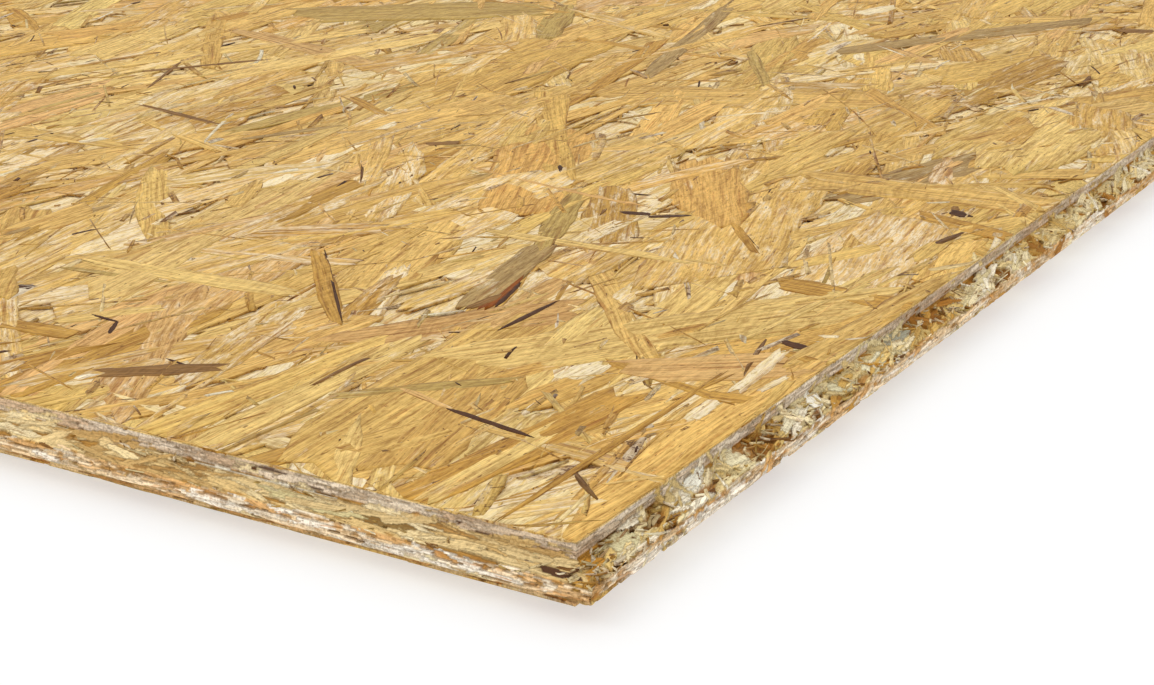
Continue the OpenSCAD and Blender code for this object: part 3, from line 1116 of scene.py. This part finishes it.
def makeEdge(name, stretch, fine, seed):
    # A closed bar behind one run of the milled edge. Rows go down the profile and columns along the edge, and
    # each point moves into the board by the chip sheet's depth. stretch lists (side, from, to, step): side says
    # which edge, and from and to are distances from that side's start corner.
    groove = stretch[0][0].endswith("Groove")
    z = heights(fine, groove)
    size = high - low
    tIn, gIn = tongueInset(z), grooveInset(z)
    inset = gIn if groove else tIn
    side, fx, fy, (px, py, ox, oy) = edgeColumns(stretch, size, tIn, gIn)
    # the profile's normal, from its slope: outwards in the plane and up or down
    slopeZ, slopeIn = np.gradient(z), np.gradient(inset)
    steep = np.hypot(slopeZ, slopeIn)
    outPart, upPart = np.abs(slopeZ) / steep, -slopeIn / steep
    run = runningSum(np.hypot(np.diff(px[:, 0]), np.diff(py[:, 0])))
    girth = runningSum(np.hypot(np.diff(z), np.diff(inset)))
    sides = [(label, *run[side == label][[0, -1]]) for label in dict.fromkeys(side)]
    tint, way, depth = chipSheet(np.random.default_rng(seed), run, girth, inset, z, sides, fine, seed)
    straw = linear(tints["straw"])
    tint[:, [0, -1]] = straw
    depth = depth * (1.0 if fine else 0.6) * (0.35 if groove else 1.0)
    points = np.stack([px, py, np.broadcast_to(z, px.shape)], -1)
    points = points - np.stack([ox * outPart * depth, oy * outPart * depth, upPart * depth], -1)
    # the inner back of the bar, drawn in at the ends of each side to meet the next side's back at the mitre
    back = milling["back"]
    atStart = board["tongueOut"] + back
    runsX = np.char.startswith(side, "long")
    bx = np.where(runsX, low[0] + atStart + (size[0] - atStart - back) * fx, px[:, 0] - ox[:, 0] * back)
    by = np.where(runsX, py[:, 0] - oy[:, 0] * back, low[1] + atStart + (size[1] - atStart - back) * fy)
    inner = milling["backInset"]
    backs = [np.stack([bx, by, np.full(len(bx), height)], -1)[:, None] for height in (inner, thick - inner)]
    ring = np.concatenate([points, *backs], 1)
    c, r = ring.shape[:2]
    number = np.arange(c * r).reshape(c, r)
    nextRow = np.roll(number, -1, 1)
    quads = np.stack([number[:-1], number[1:], nextRow[1:], nextRow[:-1]], -1).reshape(-1, 4)
    caps = [number[0], number[-1][::-1]]
    # faces turn outwards: a probe face in the middle of the cheek tells which way round they are
    probe = ring.reshape(-1, 3)[quads[r * (c // 2) + 2]]
    normal = np.cross(probe[1] - probe[0], probe[2] - probe[1])
    turned = normal[0] * ox[c // 2, 0] + normal[1] * oy[c // 2, 0] < 0
    if turned:
        quads, caps = quads[:, ::-1], [cap[::-1] for cap in caps]

    def padded(values, fill=(0.0, 0.0, 0.0)):
        # one value a point, with the two back rows filled in
        out = np.broadcast_to(fill, (c, r, 3)).copy()
        out[:, : len(z)] = values
        return out.reshape(-1, 3)

    flankShare = np.clip(np.abs(upPart), 0, 1)
    noseShare = ((inset > 0.0098) if groove else (inset < 0.0012)) * (1 - flankShare)
    cheekShare = np.clip(1 - flankShare - noseShare, 0, 1)
    batch = {
        "points": ring.reshape(-1, 3),
        "corners": np.concatenate([quads.ravel(), *caps]),
        "sizes": np.concatenate([np.full(len(quads), 4), [r, r]]),
        "smooth": np.concatenate([np.ones(len(quads), bool), [False, False]]),
        "OFBake": stripMap(run, ring, turned),
        "tint": padded(tint, straw),
        "way": padded(way),
        "depth": padded((depth * 1000)[..., None]),
        "band": padded(np.stack([cheekShare, flankShare, noseShare], -1)),
    }
    return makePiece(name, batch, milledEdge)


fibreLook = {
    "share": {"pith": 0.26, "flesh": 0.42, "olive": 0.12, "tan": 0.12, "brown": 0.07, "bark": 0.01},
    "length": (0.0046, 0.5, 0.0018, 0.014),
    "width": (0.0007, 0.5, 0.0003, 0.0018),
    "turn": 30.0,
    "crossed": 0.3,
    "lean": (0.00005, 0.00005),
    "deep": 0.0004,
    "uneven": 0.1,
    "count": {"longTongue": 520, "shortTongue": 90},
    "lift": {"longTongue": 9.0, "shortTongue": 4.0},  # degrees that one end stands up
    "curl": {"longTongue": 0.02, "shortTongue": 0.01},
}


def looseFibres(rng, s):
    # Splinters on the tongue's upper flank. A splinter's own axes are the flank's axes e1 (along the edge), e2
    # (up the slope) and n, turned by its turn about n and then lifted: along' = cos(lift) along + sin(lift) up.
    slope = math.atan2(rootHalf - noseHalf, board["tongueOut"])
    c, k = math.cos(slope), math.sin(slope)
    nose = np.array((low[0], low[1], mid + noseHalf))
    bases = {
        "longTongue": np.array([(1, 0, 0), (0, c, k), (0, -k, c)]),
        "shortTongue": np.array([(0, -1, 0), (c, 0, k), (-k, 0, c)]),
    }
    reach = {"longTongue": milling["nearRight"], "shortTongue": milling["nearLeft"]}
    tables = []
    for side, basis in bases.items():
        n = s["count"][side]
        rows = drawRows(rng, np.zeros((n, 2)), s)
        # thicker near the corner, and anywhere from the root to the nose
        along = reach[side] * rng.random(n) ** 1.25
        share = rng.uniform(0.02, 1.04, n)
        drop = 0.0004 * rng.random(n)
        start = nose + np.outer((1 - share) * board["tongueOut"] / c, basis[1])
        rows["centre"] = start + np.outer(along, np.abs(basis[0])) - np.outer(drop, basis[2])
        lift = np.radians(s["lift"][side]) * rng.standard_normal(n)
        turned = rows["axes"] @ basis
        a, up = turned[:, 0].copy(), turned[:, 2].copy()
        turned[:, 0] = np.cos(lift)[:, None] * a + np.sin(lift)[:, None] * up
        turned[:, 2] = np.cos(lift)[:, None] * up - np.sin(lift)[:, None] * a
        rows["axes"] = turned
        rows["curl"] = s["curl"][side] * np.abs(rng.standard_normal(n))
        rows["level"] = 0.0002 * rng.random(n)
        rows["bend"] = 0.03 * rng.standard_normal(n) * rows["length"]
        tables.append(rows)
    rows = together(*tables)
    rows["cut"] = rng.uniform(0.0001, 0.0003, len(rows["length"]))
    rows["place"], side = shelfPlaces(rows["length"] * 1.15, rows["width"] * 2.2, 0.0006)
    batch = cutStrands(rows, 5, 2, ((*low[:2], 0.0), (*high[:2], thick - 0.00002)))
    batch["OFBake"] = batch["OFBake"] / side
    return makePiece("looseFibres", batch, pressedStrand)


looseFibres(np.random.default_rng(90), fibreLook)
wholeX, wholeY = high[0] - low[0], high[1] - low[1]
nearL, nearR, stepN, stepF = (milling[k] for k in ("nearLeft", "nearRight", "step", "farStep"))
cornerRun = [
    ("shortTongue", nearL, 0, stepN),
    ("longTongue", 0, milling["sharpRight"], stepN),
    ("longTongue", milling["sharpRight"] + stepN, nearR, milling["midStep"]),
]
makeEdge("tongueCorner", cornerRun, True, 40)
makeEdge("longTongueRest", [("longTongue", nearR, wholeX, stepF)], False, 50)
makeEdge("shortTongueRest", [("shortTongue", wholeY, nearL, stepF)], False, 60)
makeEdge("longGrooveEdge", [("longGroove", 0, wholeX, stepF)], False, 70)
makeEdge("shortGrooveEdge", [("shortGroove", 0, wholeY, stepF)], False, 80)
print("edges milled")

studio = {
    "floor": {
        "Base Color": (0.46, 0.46, 0.459, 1),
        "Roughness": 0.9,
        "Specular IOR Level": 0.1,
        "Emission Color": (1, 1, 1, 1),
        "Emission Strength": 0.53,  # a light table lifts the shadows
    },
    "sky": {"Color": (1, 1, 1, 1), "Strength": 0.93},
    "floorHalf": 30,
    "floorAt": -0.0004,
    "aim": (-1.0, -0.1, 0),
    # name, place, size and power
    "lamps": (("keyLamp", (-2.6, 0.7, 1.9), 1.3, 12.0), ("backLamp", (0.9, 1.4, 1.5), 1.6, 5.0)),
}


def makeStudio(s):
    # A wide flat floor just under the board, an even white sky, and two large soft lamps
    mesh = bpy.data.meshes.new("floor")
    square = ((-1, -1), (1, -1), (1, 1), (-1, 1))
    far = s["floorHalf"]
    mesh.from_pydata([(x * far, y * far, s["floorAt"]) for x, y in square], [], [(0, 1, 2, 3)])
    inScene("floor", mesh)
    paper, world = bpy.data.materials.new("palePaper"), bpy.data.worlds.new("sky")
    paper.use_nodes = world.use_nodes = True
    mesh.materials.append(paper)
    bpy.context.scene.world = world
    for tree, node, values in ((paper, "Principled BSDF", s["floor"]), (world, "Background", s["sky"])):
        for key, value in values.items():
            tree.node_tree.nodes[node].inputs[key].default_value = value
    for name, place, size, power in s["lamps"]:
        data = bpy.data.lights.new(name, "AREA")
        data.size, data.energy = size, power
        lamp = inScene(name, data)
        lamp.location = place
        lamp.rotation_euler = (Vector(s["aim"]) - Vector(place)).to_track_quat("-Z", "Y").to_euler()


makeStudio(studio)

view = {
    "place": (-1.7418, -0.6014, 0.2734),
    "heading": 28.77,  # degrees from +X towards +Y
    "down": 19.47,
    "roll": 1.64,
    "lens": 77.5,
}


def makeCamera(s):
    # Looks along (cos down cos heading, cos down sin heading, -sin down), rolled about that line
    heading, down, roll = (math.radians(s[k]) for k in ("heading", "down", "roll"))
    flat = math.cos(down)
    ahead = Vector((flat * math.cos(heading), flat * math.sin(heading), -math.sin(down)))
    right = ahead.cross(Vector((0, 0, 1))).normalized()
    up = right.cross(ahead)
    level, tip = math.cos(roll), math.sin(roll)
    right, up = right * level + up * tip, up * level - right * tip
    data = bpy.data.cameras.new("camera")
    data.lens, data.sensor_width = s["lens"], 36
    data.clip_start, data.clip_end = 0.01, 200
    camera = inScene("camera", data)
    axes = Matrix((right, up, -ahead)).transposed().to_4x4()
    camera.matrix_world = Matrix.Translation(s["place"]) @ axes
    bpy.context.scene.camera = camera


makeCamera(view)
bpy.context.scene.view_settings.view_transform = "Standard"
print("studio set;", sum(triangleCount), "triangles in", len(triangleCount), "pieces, most", max(triangleCount))
